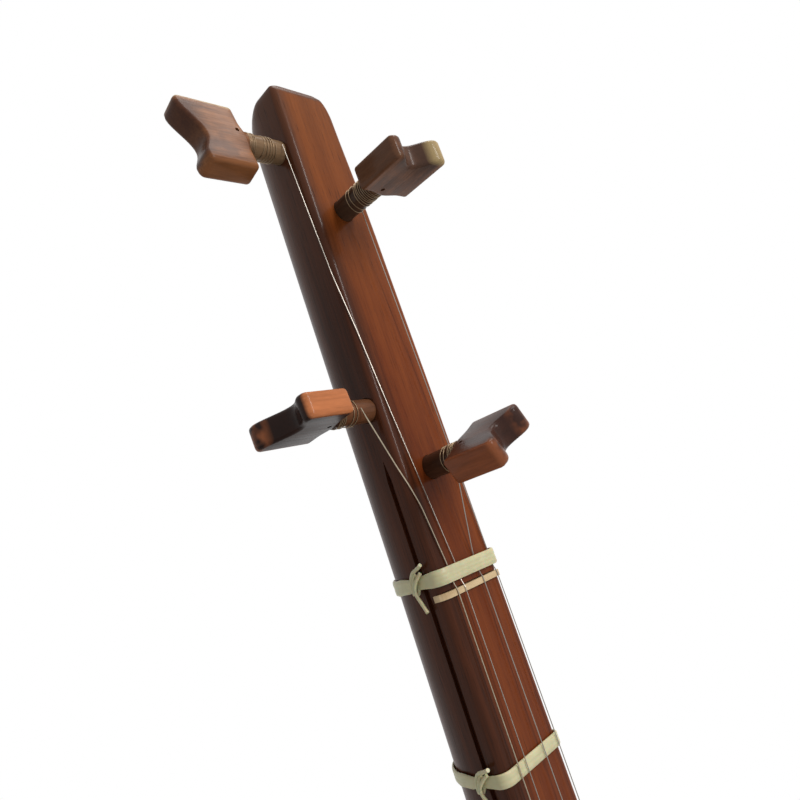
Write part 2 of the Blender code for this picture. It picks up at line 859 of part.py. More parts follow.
def make_nut():
    """A bone bar in its slot, bent down over the bass edge."""
    half, _, _, _ = neck_shape(0.0)
    floor = NUT_SLOT - SEAT
    steps = 5
    outer = []
    for i in range(steps + 1):
        angle = math.radians(86) * i / steps
        x = half - EDGE_ACROSS + (EDGE_ACROSS + NUT_RISE) * math.sin(angle)
        y = EDGE_DOWN - (EDGE_DOWN + NUT_RISE) * math.cos(angle)
        outer.append((-x, y))
    outer.append((-(half + NUT_RISE), NUT_WRAP))
    inner = []
    start = math.acos((EDGE_DOWN - floor) / (EDGE_DOWN + SEAT))
    for i in range(steps + 1):
        angle = start + (math.radians(86) - start) * i / steps
        x = half - EDGE_ACROSS + (EDGE_ACROSS + SEAT) * math.sin(angle)
        y = EDGE_DOWN - (EDGE_DOWN + SEAT) * math.cos(angle)
        inner.append((-x, y))
    inner.append((-(half + SEAT), NUT_WRAP))
    right = half - 0.0002
    outline = [(right, floor), (right, -NUT_RISE * 0.45), (right - 0.0006, -NUT_RISE)]
    outline += outer + list(reversed(inner))
    low = -NUT_THICKNESS / 2
    nut = finish(extrude_outline(outline, low, -low), "nut", bone())
    for name, x in NUT_PLACES.items():
        width = BASS_STRING if name == "bass" else STRING
        radius = width / 2 + SEAT
        slot = cylinder(
            "nut_notch_" + name,
            radius,
            radius,
            (x, nut_top() - 0.0001, -0.003),
            (x, nut_top() - 0.0001, 0.003),
            8,
            bone(),
        )
        combine(nut, slot, "DIFFERENCE")
    return nut


def make_bridge():
    """A low bar on two feet, thick below and thin where the strings cross."""
    half = BRIDGE_LENGTH / 2
    foot = BRIDGE_FOOT_LENGTH
    base = -SEAT
    top = -BRIDGE_HEIGHT + STRING / 2
    outline = [(-half, base), (-half + foot, base), (-half + foot * 1.15, -BRIDGE_ARCH)]
    outline += [(half - foot * 1.15, -BRIDGE_ARCH), (half - foot, base), (half, base)]
    outline += [(half, -BRIDGE_HEIGHT * 0.45), (half - 0.008, -BRIDGE_HEIGHT * 0.62)]
    outline += [(half * 0.5, top), (-half * 0.5, top)]
    outline += [(-half + 0.008, -BRIDGE_HEIGHT * 0.62), (-half, -BRIDGE_HEIGHT * 0.45)]
    rings = []
    for side in (-1, 1):
        ring = []
        for x, y in outline:
            share = min(max((y - base) / (top - base), 0.0), 1.0)
            thick = BRIDGE_FOOT + (BRIDGE_TOP - BRIDGE_FOOT) * share
            ring.append((x, y, -STRING_LENGTH + side * thick / 2))
        rings.append(ring)
    mat = material("bridge_wood", (0.110, 0.045, 0.022), 0.40)
    bridge = finish(loft(rings), "bridge", mat, 30.0)
    for name, x in BRIDGE_PLACES.items():
        width = BASS_STRING if name == "bass" else STRING
        radius = width / 2 + SEAT
        slot = cylinder(
            "bridge_notch_" + name,
            radius,
            radius,
            (x, -BRIDGE_HEIGHT, -STRING_LENGTH - 0.006),
            (x, -BRIDGE_HEIGHT, -STRING_LENGTH + 0.006),
            8,
            mat,
        )
        combine(bridge, slot, "DIFFERENCE")
    return bridge


def tailpiece_front():
    return body_end() - 2 * SEAT - TAIL_CAP_THICKNESS


def tailpiece_back():
    return tailpiece_front() - TAILPIECE_THICKNESS


def make_tailpiece():
    """A bone plate on the end cap with four headed pins for the string loops."""
    half = TAILPIECE_WIDTH / 2
    top = -TAILPIECE_LIP
    foot = TAILPIECE_HEIGHT
    corner = 0.003
    outline = [(-half, top), (half, top), (half, foot - corner)]
    outline += [(half - corner, foot), (-half + corner, foot), (-half, foot - corner)]
    plate = finish(
        extrude_outline(outline, tailpiece_back(), tailpiece_front()), "tailpiece", bone()
    )
    for name, x in TAIL_PLACES.items():
        end = tailpiece_back() - PIN_LENGTH
        rings = []
        places = (
            (tailpiece_back() + 0.001, PIN / 2),
            (end + 0.0022, PIN / 2),
            (end + 0.0012, PIN_HEAD / 2),
            (end, PIN_HEAD / 2 - 0.0005),
        )
        for z, radius in places:
            ring = []
            for i in range(10):
                angle = 2 * math.pi * i / 10
                ring.append((x + radius * math.cos(angle), PIN_DEPTH + radius * math.sin(angle), z))
            rings.append(ring)
        combine(plate, finish(loft(rings), "tail_pin_" + name, bone()), "UNION")
    return plate


# ---- Gut band and frets


def gut_loop(name, centre, width, thickness, lift, mat):
    """A flat loop of gut round the neck, with its knot over the groove."""
    low = centre - width / 2
    high = centre + width / 2
    inner_low = neck_outline(low, SEAT, lift)
    outer_low = neck_outline(low, SEAT + thickness, lift)
    inner_high = neck_outline(high, SEAT, lift)
    outer_high = neck_outline(high, SEAT + thickness, lift)
    rings = []
    for i in range(len(inner_low)):
        rings.append(
            [
                (*inner_low[i], low),
                (*inner_high[i], high),
                (*outer_high[i], high),
                (*outer_low[i], low),
            ]
        )
    loop = finish(loft(rings, closed_path=True), name, mat, 40.0)
    half = neck_shape(centre)[0]
    out = -(half + SEAT + thickness * 0.4)
    knot = bmesh.new()
    bmesh.ops.create_icosphere(knot, subdivisions=1, radius=KNOT / 2)
    stretch = Matrix.Diagonal((0.75, 1.15, max(1.0, width / KNOT * 1.1), 1.0))
    place = Matrix.Translation((out - KNOT * 0.22, GROOVE_DEPTH_FROM_FACE + 0.0012, centre))
    knot.transform(place @ stretch)
    for vert in knot.verts:
        vert.co.x = min(vert.co.x, -(half + SEAT * 1.2))
    combine(loop, finish(knot, "knot_" + name, mat), "UNION")
    return loop


def fret_z(cents):
    return -STRING_LENGTH * (1 - 2 ** (-cents / 1200))


def make_frets():
    made = []
    last = len(FRET_CENTS) - 1
    for i, cents in enumerate(FRET_CENTS):
        share = i / last
        width = FIRST_FRET_WIDTH + (LAST_FRET_WIDTH - FIRST_FRET_WIDTH) * math.sqrt(share)
        thickness = FRET_THICKNESS * (1 - 0.25 * share)
        name = f"fret_{i + 1:02d}"
        made.append(gut_loop(name, fret_z(cents), width, thickness, 0.0, gut()))
    return made


def main():
    clear_scene()
    frames = []
    for name, face, height, offset, turn in PEG_PLACES:
        frame = peg_frame(face, height, offset, turn)
        frames.append((name, frame, peg_reach(face, height)))
    make_neck(frames)
    for index in range(STAVES):
        make_stave(index)
    make_blocks()
    make_tail_cap()
    make_soundboard()
    make_nut()
    make_bridge()
    make_tailpiece()
    for name, frame, through in frames:
        _, empty = make_peg(name, frame, through)
        make_winding(name, through, empty)
        make_string(STRING_OF_PEG[name], name, frame, through)
    gut_loop("string_band", BAND_CENTRE, BAND_WIDTH, BAND_THICKNESS, BAND_LIFT, gut())
    make_frets()
    bpy.context.view_layer.update()


main()
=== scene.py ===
"""A setar on white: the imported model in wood, bone and wire, with finer pieces where it is plain.

The neck, pegs, wound wire and tied gut are made here and stand for the plain solids; the bowl,
soundboard, blocks, nut, bridge, tailpiece and strings are the solids themselves. All lengths
are in metres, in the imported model's own frame: Z up the neck from the nut, -Y the strings' side.
"""

import math
from typing import NamedTuple

import bpy
from mathutils import Matrix, Vector


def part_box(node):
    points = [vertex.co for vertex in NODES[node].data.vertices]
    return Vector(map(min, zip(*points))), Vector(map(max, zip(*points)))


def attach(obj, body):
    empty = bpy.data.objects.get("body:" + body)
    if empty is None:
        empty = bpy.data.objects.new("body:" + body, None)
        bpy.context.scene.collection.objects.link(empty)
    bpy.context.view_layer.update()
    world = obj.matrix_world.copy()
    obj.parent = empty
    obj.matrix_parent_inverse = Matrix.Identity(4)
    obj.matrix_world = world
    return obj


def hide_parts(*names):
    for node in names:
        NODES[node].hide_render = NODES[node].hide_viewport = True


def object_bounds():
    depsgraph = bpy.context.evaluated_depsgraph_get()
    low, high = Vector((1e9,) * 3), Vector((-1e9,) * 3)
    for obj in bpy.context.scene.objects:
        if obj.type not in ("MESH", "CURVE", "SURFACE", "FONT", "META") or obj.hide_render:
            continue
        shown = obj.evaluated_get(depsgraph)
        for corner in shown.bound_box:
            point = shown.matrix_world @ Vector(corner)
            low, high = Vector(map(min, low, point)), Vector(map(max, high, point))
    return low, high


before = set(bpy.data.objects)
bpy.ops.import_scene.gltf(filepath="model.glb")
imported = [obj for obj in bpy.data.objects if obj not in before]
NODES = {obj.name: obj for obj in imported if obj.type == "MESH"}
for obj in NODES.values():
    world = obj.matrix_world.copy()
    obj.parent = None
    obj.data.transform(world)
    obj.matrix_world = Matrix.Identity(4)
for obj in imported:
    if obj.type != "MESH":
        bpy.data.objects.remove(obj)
cad_low, cad_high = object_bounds()

# Camera: its place, and the picture's right and down directions
CAMERA_PLACE = Vector((-0.15331, -0.13651, 0.01999))
CAMERA_RIGHT = Vector((0.68128, -0.65818, -0.32041))
CAMERA_DOWN = Vector((-0.0909, 0.35825, -0.92919))
CAMERA_LENS = 30.62
CAMERA_SENSOR = 36.0
CAMERA_NEAR = 0.01

# Studio: the white that is seen, the paler light that the same world gives, and the floor
WORLD_SEEN = ((1, 1, 1), 1.0)
WORLD_LIGHT = ((1, 0.99, 0.97), 0.34)
LAMPS_AIM = Vector((0, 0, 0.05))
FLOOR_RADIUS = 1.3
FLOOR_SIDES = 96
FLOOR_BELOW = 0.002
FLOOR_COLOURS = ((0.84, 0.84, 0.83), (0.88, 0.88, 0.87))

# Neck: the bare face and the sides painted dark as shade, both lighter towards the head, the face
# by a painted sheen
FACE_LIGHT = (0.265, 0.066, 0.014)
FACE_DARK = (0.125, 0.025, 0.006)
FACE_LOW = (0.062, 0.008, 0.002)
FACE_TOP_SHEEN = (0.190, 0.066, 0.012)
SHADED_SIDE_LIGHT = (0.088, 0.025, 0.010)
SHADED_SIDE_DARK = (0.030, 0.009, 0.004)
SHADED_SIDE_HEAD = (0.120, 0.044, 0.020)
NECK_PORE = (0.012, 0.004, 0.002)

# Painted shade darkens the sides from a little way down, the flat top of the crown is darker, and a
# painted dark reflection covers a strip of the face that has a soft, wandering border and moves out
# to the bass edge up the neck
REFLECTION_STRIP_HEIGHTS = (-0.06, 0.14)
REFLECTION_STRIP_PLACES = (-0.0058, -0.0090)
REFLECTION_STRIP_BORDER = (-0.0024, 0.0020)
REFLECTION_STRIP_WANDER = 0.0012
SIDE_SHADE_DEPTHS = (0.0006, 0.0026)
DARKER_TOP = (0.1668, 0.1678)

# Gut and bone: the two tones of each, and the width of the gut's strands
GUT_COLOURS = ((0.46, 0.43, 0.24), (0.66, 0.62, 0.39))
GUT_STRAND = 0.0012
BONE_COLOURS = ((0.46, 0.31, 0.15), (0.66, 0.50, 0.29))

# Where a peg's colours change, as distances short of an edge, an end or the grip's start, and
# the colour of the painted highlight on its upper edge
NARROW_EDGE = (0.0016, 0.0007)
HOLLOW_SIDES = (0.0018, 0.0034)
HOLLOW_END = (0.0075, 0.0025)
EDGE_HIGHLIGHT_BAND = (0.0018, 0.0010)
SHAFT_END = (0.0028, 0.0006)
PALE_TIPS = (0.0026, 0.0010)
EDGE_HIGHLIGHT_COLOUR = (0.50, 0.37, 0.20)

# Neck and head: widths and depths at the nut, and what they gain or lose by the foot
NECK_FOOT = 0.455
HEAD_TOP = 0.1696
CROWN = 0.160
HALF_WIDTH, HALF_GAIN = 0.0130, 0.0020
DEPTH, DEPTH_GAIN = 0.0257, 0.0023
STRAIGHT_SIDE = 0.0090
# Eased changes: how much, from which height, and over what length; the side's goes downwards
SIDE_LOSS = (0.0065, 0.365, 0.090)
BASS_TAPER = (0.0004, 0.10, 0.06)
TREBLE_TAPER = (0.0004, 0.06, 0.05)
TREBLE_HEAD = (0.0016, 0.115, 0.05)
FRONT_BACK = (0.0007, 0.1678, 0.0018)
# Rounding at the crown: how much, and from which height
BASS_CROWN = (0.0007, 0.1660)
TREBLE_CROWN = (0.0046, CROWN)
BACK_CROWN = (0.0095, CROWN)
# The front edges' rounding: across the face and down the side
BASS_EDGE = (0.0030, 0.0022)
TREBLE_EDGE = (0.0018, 0.0015)
NECK_HEIGHTS = (
    -0.455, -0.43, -0.41, -0.39, -0.365, -0.25, -0.12, 0.0, 0.06,
    0.09, 0.105, 0.115, 0.125, 0.135, 0.145, 0.153, CROWN,
)
CROWN_STEPS = 12

# Groove for the knots: height and share of its section, at its foot, before its end and at it
GROOVE_ENDS = ((-0.435, 1.0), (0.0355, 1.0), (0.0415, 0.10))
GROOVE_MIDDLE = 0.0058
GROOVE_HALF = 0.0009
GROOVE_DEEP = 0.0014
GROOVE_CLEAR = 0.0040

# Slot for the nut: half its length along the neck, how deep it is, and how far the cutter clears
SLOT_HALF = 0.0012
SLOT_DEEP = 0.001
SLOT_ABOVE = 0.004
SLOT_REACH = 0.02

# Peg holes: place along the shaft and radius, from past its inner end to clear of the face
HOLE = ((-0.0400, 0.00274), (-0.0010, 0.00386), (0.0100, 0.00390))
# Shaft: its taper in the same way, and its collar, placed from where the grip starts
SHAFT_SIDES = 40
SHAFT_INNER = ((-0.026, 0.0030), (-0.001, 0.00372), (0.004, 0.00378))
SHAFT_COLLAR = ((-0.0035, 0.00385), (-0.0012, 0.00400), (0.0016, 0.00420))
# The shaft's collar is wider across than through, from just before the grip
COLLAR_SPREAD = 0.0012
COLLAR_BEFORE = 0.001
COLLAR_SKIN = 0.0001
# The bass side, which the side pegs stand on
SIDE_PEG_X = -0.0130

# Grip: how it is sliced, rounded at its horns, hollowed between them, arched at its other end
# and bevelled, and the hole for the string's end
GRIP_SLICES = 18
HORN_TIP = 0.0026
HORN_ROUND = 0.0010
HORN_TUCK = 0.03
HOLLOW_LEAN = 0.9
HOLLOW_DEEP = 0.0040
HOLLOW_CURVE = 0.8
CHIN_HALF = 0.0062
CHIN_DEEP = 0.0012
GRIP_BEVEL = 0.0014
BEVEL_STEPS = 4
BEVEL_ANGLE = 50
STRING_HOLE = 0.0007
STRING_HOLE_IN = 0.0022
STRING_HOLE_UP = 0.0016
STRING_HOLE_LONG = 0.03

# Wire on the shafts: its diameter, the shaft under it and the steps that make one turn
WIRE = 0.00028
WOUND_SHAFT = 0.00382
TURN_STEPS = 20
CROSSING_STEPS = 14
# How uneven the turns are, along the shaft and out from it: by how much and how often
UNEVEN_ALONG = (0.00008, 2.3)
UNEVEN_OUT = (0.00004, 1.7)

# Gut straps: how far they stand off the neck, and their section across and out
STRAP_CLEAR = 0.0003
STRAP_STEPS = (40, 10)
STRAP_SECTION = (
    (-0.86, 0.0), (-1.0, 0.25), (-0.97, 0.7), (-0.80, 0.95), (-0.42, 1.0), (0.0, 0.93),
    (0.42, 1.0), (0.80, 0.95), (0.97, 0.7), (1.0, 0.25), (0.86, 0.0),
)
# How far a strap wanders up and down, and how often, by its place in depth and across
STRAP_WAVE = (0.00010, 900, 500)
# Knot: its place on the bass side, and how far along the strap and how much it draws it in
KNOT_X = -0.0133
KNOT_Y = 0.0074
KNOT_REACH = 0.0034
KNOT_PINCH = 0.42
# The radius of the knot's cord on a broad strap and on others, and what counts as broad
WIDE_CORD, FINE_CORD = 0.00055, 0.0004
BROAD_STRAP = 0.003

# Gut band above the nut, and the frets from the first to the last
BAND_HEIGHT = 0.0052
BAND_WIDTH = 0.0046
BAND_LIFT = 0.0008
FRETS = 24
FIRST_WIDTH, WIDTH_LOSS = 0.0038, 0.0018
FIRST_THICK, THICK_LOSS = 0.0008, 0.0002

STAVES = 11

# Angles in degrees past which an edge stays sharp
NECK_CREASE = 32
PEG_CREASE = 38
STRAP_CREASE = 50
WIRE_CREASE = 60


class Wood(NamedTuple):
    """A polished wood: its colours, how rough it is, and the figure of its grain."""

    dark: tuple
    middle: tuple
    light: tuple
    rough: float
    stretch: float
    seed: int
    grain: float
    coat: float


WOODS = {
    "stave_light_polished": Wood(
        dark=(0.100, 0.032, 0.012), middle=(0.190, 0.066, 0.024), light=(0.300, 0.115, 0.045),
        rough=0.28, stretch=16.0, seed=3, grain=0.9, coat=0.20,
    ),
    "stave_dark_polished": Wood(
        dark=(0.030, 0.010, 0.005), middle=(0.075, 0.022, 0.010), light=(0.130, 0.042, 0.018),
        rough=0.28, stretch=16.0, seed=4, grain=0.9, coat=0.20,
    ),
    "board_oiled": Wood(
        dark=(0.270, 0.130, 0.050), middle=(0.420, 0.225, 0.095), light=(0.560, 0.335, 0.155),
        rough=0.42, stretch=20.0, seed=5, grain=0.8, coat=0.075,
    ),
    "block_bare": Wood(
        dark=(0.270, 0.160, 0.080), middle=(0.420, 0.270, 0.140), light=(0.520, 0.360, 0.200),
        rough=0.60, stretch=12.0, seed=6, grain=0.8, coat=0.0,
    ),
    "cap_polished": Wood(
        dark=(0.020, 0.008, 0.004), middle=(0.050, 0.018, 0.009), light=(0.090, 0.034, 0.016),
        rough=0.30, stretch=10.0, seed=7, grain=0.9, coat=0.15,
    ),
}

# Wires: colour and roughness
WIRES = {
    "brass_drawn": ((0.46, 0.39, 0.29), 0.36),
    "steel_drawn": ((0.36, 0.33, 0.29), 0.36),
    "wire_tarnished": ((0.30, 0.21, 0.13), 0.34),
}


class Peg(NamedTuple):
    """A peg's place on the head, its grip's size and shape, its wire and its varnish."""

    # Place: the head's face, how far up it, how far off its middle, and the grip's turn in degrees
    face: str
    height: float
    offset: float
    turn: float
    # Grip: start and end along the shaft, width, thickness, and each horn's reach past its end
    start: float
    end: float
    width: float
    thick: float
    upper_horn: float
    lower_horn: float
    # How far the grip sits off the shaft, across and through
    shift_across: float
    shift_through: float
    # Wire: the turns of each group, from the grip inwards, as first place, last place and count,
    # and the record's material slot that it belongs to
    turns: tuple
    slot: str
    # Varnish: narrow edges, broad faces light and dark, hollow end, shaft, tips, and the shares
    # of the tips that are paler, by wear and by painted light, and of the upper edge's painted
    # highlight
    edge: tuple
    light: tuple
    dark: tuple
    hollow: tuple
    shaft: tuple
    tip: tuple
    tip_wear_and_light: float
    edge_highlight: float


PEGS = {
    "side_upper": Peg(
        face="side", height=0.1474, offset=0.0066, turn=348.9,
        start=0.0147, end=0.0335, width=0.0256, thick=0.0082,
        upper_horn=0.0014, lower_horn=-0.0014, shift_across=-0.0007, shift_through=0.0,
        turns=((0.0138, 0.0112, 5), (0.0078, 0.0036, 4)), slot="steel_wire",
        edge=(0.250, 0.096, 0.036), light=(0.300, 0.122, 0.046), dark=(0.100, 0.034, 0.013),
        hollow=(0.055, 0.020, 0.012), shaft=(0.250, 0.155, 0.085), tip=(0.56, 0.42, 0.20),
        # its upper edge carries a pale painted highlight
        tip_wear_and_light=0.0, edge_highlight=0.85,
    ),
    "front_upper": Peg(
        face="front", height=0.1236, offset=0.0004, turn=269.8,
        start=0.0171, end=0.0352, width=0.0200, thick=0.0078,
        upper_horn=-0.0006, lower_horn=0.0014, shift_across=-0.0008, shift_through=0.0008,
        turns=((0.0158, 0.0100, 8), (0.0082, 0.0050, 2)), slot="brass_wire",
        edge=(0.150, 0.066, 0.034), light=(0.205, 0.088, 0.042), dark=(0.085, 0.034, 0.018),
        hollow=(0.060, 0.033, 0.024), shaft=(0.075, 0.040, 0.024), tip=(0.56, 0.42, 0.20),
        tip_wear_and_light=0.6, edge_highlight=0.0,
    ),
    "side_lower": Peg(
        face="side", height=0.0575, offset=0.0054, turn=85.4,
        start=0.0155, end=0.0333, width=0.0234, thick=0.0074,
        upper_horn=-0.0018, lower_horn=0.0018, shift_across=0.0, shift_through=0.0,
        turns=((0.0144, 0.0118, 4), (0.0092, 0.0064, 2)), slot="brass_wire",
        # narrow edges and tips painted lit orange, broad faces painted nearly black as shade
        edge=(0.520, 0.180, 0.070), light=(0.045, 0.014, 0.007), dark=(0.014, 0.006, 0.004),
        hollow=(0.018, 0.007, 0.005), shaft=(0.160, 0.064, 0.030), tip=(0.330, 0.110, 0.045),
        tip_wear_and_light=0.9, edge_highlight=0.0,
    ),
    "front_lower": Peg(
        face="front", height=0.0360, offset=0.0000, turn=243.3,
        start=0.0140, end=0.0314, width=0.0220, thick=0.0081,
        upper_horn=0.0002, lower_horn=0.0002, shift_across=0.0, shift_through=0.0,
        turns=((0.0132, 0.0106, 4), (0.0092, 0.0068, 2)), slot="steel_wire",
        # narrow edges and tips painted lit, broad faces painted dark as shade
        edge=(0.250, 0.075, 0.030), light=(0.085, 0.030, 0.016), dark=(0.028, 0.010, 0.006),
        hollow=(0.040, 0.018, 0.014), shaft=(0.075, 0.030, 0.016), tip=(0.250, 0.080, 0.032),
        tip_wear_and_light=0.8, edge_highlight=0.0,
    ),
}


class Tree:
    """Short calls for building a material's, a group's or the world's nodes."""

    def __init__(self, tree):
        self.nodes = tree.nodes
        self.links = tree.links

    def fill(self, node, inputs):
        """Links a node's inputs, or sets them where a plain value is given."""
        for key, value in inputs.items():
            socket = node.inputs[key]
            if isinstance(value, bpy.types.NodeSocket):
                self.links.new(value, socket)
            elif socket.type == "RGBA":
                socket.default_value = (*value, 1)
            else:
                socket.default_value = value

    def add(self, kind, inputs=None, **settings):
        node = self.nodes.new(kind)
        for key, value in settings.items():
            setattr(node, key, value)
        self.fill(node, inputs or {})
        return node

    def maths(self, operation, first, second=0.0):
        return self.add("ShaderNodeMath", {0: first, 1: second}, operation=operation).outputs[0]

    def spread(self, value, low, high, to_low=0.0, to_high=1.0):
        """Carries a value from one range to another and holds it at that range's ends."""
        ends = {"From Min": low, "From Max": high, "To Min": to_low, "To Max": to_high}
        return self.add("ShaderNodeMapRange", {"Value": value, **ends}).outputs[0]

    def mix(self, share, first, second, blend="MIX"):
        """Mixes two colours; a Mix node keeps its colours in sockets 6 and 7, and out of 2."""
        inputs = {0: share, 6: first, 7: second}
        return self.add("ShaderNodeMix", inputs, data_type="RGBA", blend_type=blend).outputs[2]

    def tinted(self, colour, value, share=1.0):
        """A colour made lighter or darker by a value that changes over the surface."""
        grey = self.add("ShaderNodeCombineColor", {0: value, 1: value, 2: value}).outputs[0]
        return self.mix(share, colour, grey, "MULTIPLY")

    def dimmed(self, colour, share):
        return self.mix(1.0, colour, (share, share, share), "MULTIPLY")

    def noise(self, vector, detail, rough=0.5, scale=1.0):
        inputs = {"Vector": vector, "Scale": scale, "Detail": detail, "Roughness": rough}
        return self.add("ShaderNodeTexNoise", inputs).outputs["Fac"]

    def point(self):
        """The place of a point of the piece, which is its place in the frame."""
        return self.add("ShaderNodeTexCoord").outputs["Object"]

    def apart(self, vector):
        return self.add("ShaderNodeSeparateXYZ", {0: vector}).outputs

    def together(self, x, y, z):
        return self.add("ShaderNodeCombineXYZ", {0: x, 1: y, 2: z}).outputs[0]

    def mapped(self, vector, scale, place=(0, 0, 0)):
        inputs = {"Vector": vector, "Location": place, "Scale": scale}
        return self.add("ShaderNodeMapping", inputs).outputs[0]

    def bump(self, height, distance, strength):
        inputs = {"Height": height, "Distance": distance, "Strength": strength}
        return self.add("ShaderNodeBump", inputs).outputs[0]

    def group(self, made, inputs):
        return self.add("ShaderNodeGroup", inputs, node_tree=made).outputs


def new_material(name, plain):
    """A new material with its shader, on which the values that are the same all over are set."""
    made = bpy.data.materials.new(name)
    made.use_nodes = True
    shader = made.node_tree.nodes["Principled BSDF"]
    for key, value in plain.items():
        shader.inputs[key].default_value = value
    return made, Tree(made.node_tree), shader


def new_group(name, inputs, outputs):
    """A node group with named sockets, its tree, what it is given and where its results go."""
    made = bpy.data.node_groups.new(name, "ShaderNodeTree")
    for side, sockets in (("INPUT", inputs), ("OUTPUT", outputs)):
        for label, kind in sockets.items():
            made.interface.new_socket(name=label, in_out=side, socket_type="NodeSocket" + kind)
    tree = Tree(made)
    return made, tree, tree.add("NodeGroupInput").outputs, tree.add("NodeGroupOutput")


def grain_group():
    """Long streaks along Z and fine pores, stretched as the wood asks."""
    made, tree, given, results = new_group(
        "wood_grain",
        {
            "Vector": "Vector", "Place": "Vector", "Stretch": "Float", "Grain": "Float",
            "Dark": "Color", "Middle": "Color", "Light": "Color",
        },
        {"Color": "Color", "Streak": "Float", "Pores": "Float"},
    )

    def stretched(size):
        along = tree.maths("DIVIDE", size, given["Stretch"])
        return tree.mapped(given["Vector"], tree.together(size, size, along), given["Place"])

    band = tree.noise(stretched(150.0), 3.0, 0.55)
    fine = stretched(900.0)
    streak = tree.noise(fine, 4.0, 0.6)
    pores = tree.noise(fine, 2.0, 0.5, 2.6)
    colour = tree.mix(tree.spread(band, 0.3, 0.7), given["Dark"], given["Light"])
    colour = tree.mix(0.45, colour, given["Middle"])
    colour = tree.tinted(colour, tree.spread(streak, 0.35, 0.65, 0.80, 1.12), given["Grain"])
    pore = tree.spread(pores, 0.60, 0.72, 0.0, tree.maths("MULTIPLY", given["Grain"], 0.55))
    colour = tree.mix(pore, colour, tree.dimmed(given["Dark"], 0.45))
    tree.fill(results, {"Color": colour, "Streak": streak, "Pores": pores})
    return made


def wood_material(name, grain):
    """Polished or bare wood with its grain along the neck."""
    wood = WOODS[name]
    made, tree, shader = new_material(
        name,
        {"Specular IOR Level": 0.10, "Coat Weight": wood.coat, "Coat Roughness": 0.16},
    )
    figure = tree.group(grain, {
        "Vector": tree.point(),
        "Place": (wood.seed * 0.37, wood.seed * 0.21, wood.seed * 0.13),
        "Stretch": wood.stretch,
        "Grain": wood.grain,
        "Dark": wood.dark,
        "Middle": wood.middle,
        "Light": wood.light,
    })
    rough = tree.spread(figure["Streak"], 0.3, 0.7, wood.rough - 0.05, wood.rough + 0.09)
    normal = tree.bump(figure["Pores"], 0.00012, 0.5)
    tree.fill(shader, {"Base Color": figure["Color"], "Roughness": rough, "Normal": normal})
    return made


def neck_material():
    """Red-brown wood: an orange-brown face, and sides painted nearly black as shade."""
    made, tree, shader = new_material(
        "neck_painted_shade",
        {"Specular IOR Level": 0.05, "Coat Weight": 0.12, "Coat Roughness": 0.12},
    )
    point = tree.point()
    x, y, z = tree.apart(point)
    figure = tree.noise(tree.mapped(point, (170, 170, 9)), 3.0, 0.55)
    streak = tree.noise(tree.mapped(point, (1100, 1100, 42), (3, 5, 7)), 5.0, 0.65)
    pores = tree.noise(tree.mapped(point, (2600, 2600, 120), (1, 2, 3)), 2.0, 0.5)
    tone = tree.spread(tree.maths("ADD", figure, tree.maths("MULTIPLY", streak, 0.6)), 0.55, 1.05)

    # The face darkens down the neck and is lighter at the head as a painted sheen; the sides'
    # painted shade is lighter there too
    face = tree.mix(tone, FACE_DARK, FACE_LIGHT)
    face = tree.mix(tree.spread(z, -0.10, 0.17), tree.mix(0.55, face, FACE_LOW), face)
    # The face's lighter top is a painted sheen
    face = tree.mix(tree.spread(z, 0.07, 0.17, 0.0, 0.40), face, FACE_TOP_SHEEN)
    # The sides are the wood painted in shade, nearly black
    side = tree.mix(tone, SHADED_SIDE_DARK, SHADED_SIDE_LIGHT)
    side = tree.mix(tree.spread(z, 0.09, 0.17, 0.0, 0.65), side, SHADED_SIDE_HEAD)

    # Painted shade darkens the sides, a painted dark reflection an uneven strip of the face on the
    # bass side, and the top end is darker
    wander = tree.spread(figure, 0.3, 0.7, -REFLECTION_STRIP_WANDER, REFLECTION_STRIP_WANDER)
    edge = tree.spread(z, *REFLECTION_STRIP_HEIGHTS, *REFLECTION_STRIP_PLACES)
    outer, inner = (tree.maths("ADD", edge, border) for border in REFLECTION_STRIP_BORDER)
    strip = tree.spread(tree.maths("ADD", x, wander), outer, inner, 1.0, 0.0)
    painted_shade_and_dark_top = tree.maths("MAXIMUM", strip, tree.spread(y, *SIDE_SHADE_DEPTHS))
    painted_shade_and_dark_top = tree.maths("MAXIMUM", painted_shade_and_dark_top, tree.spread(z, *DARKER_TOP))
    colour = tree.mix(painted_shade_and_dark_top, face, side)
    colour = tree.mix(tree.spread(pores, 0.60, 0.72, 0.0, 0.6), colour, NECK_PORE)
    rough = tree.spread(streak, 0.3, 0.7, 0.27, 0.40)
    normal = tree.bump(tree.maths("ADD", pores, streak), 0.00010, 0.35)
    tree.fill(shader, {"Base Color": colour, "Roughness": rough, "Normal": normal})
    return made


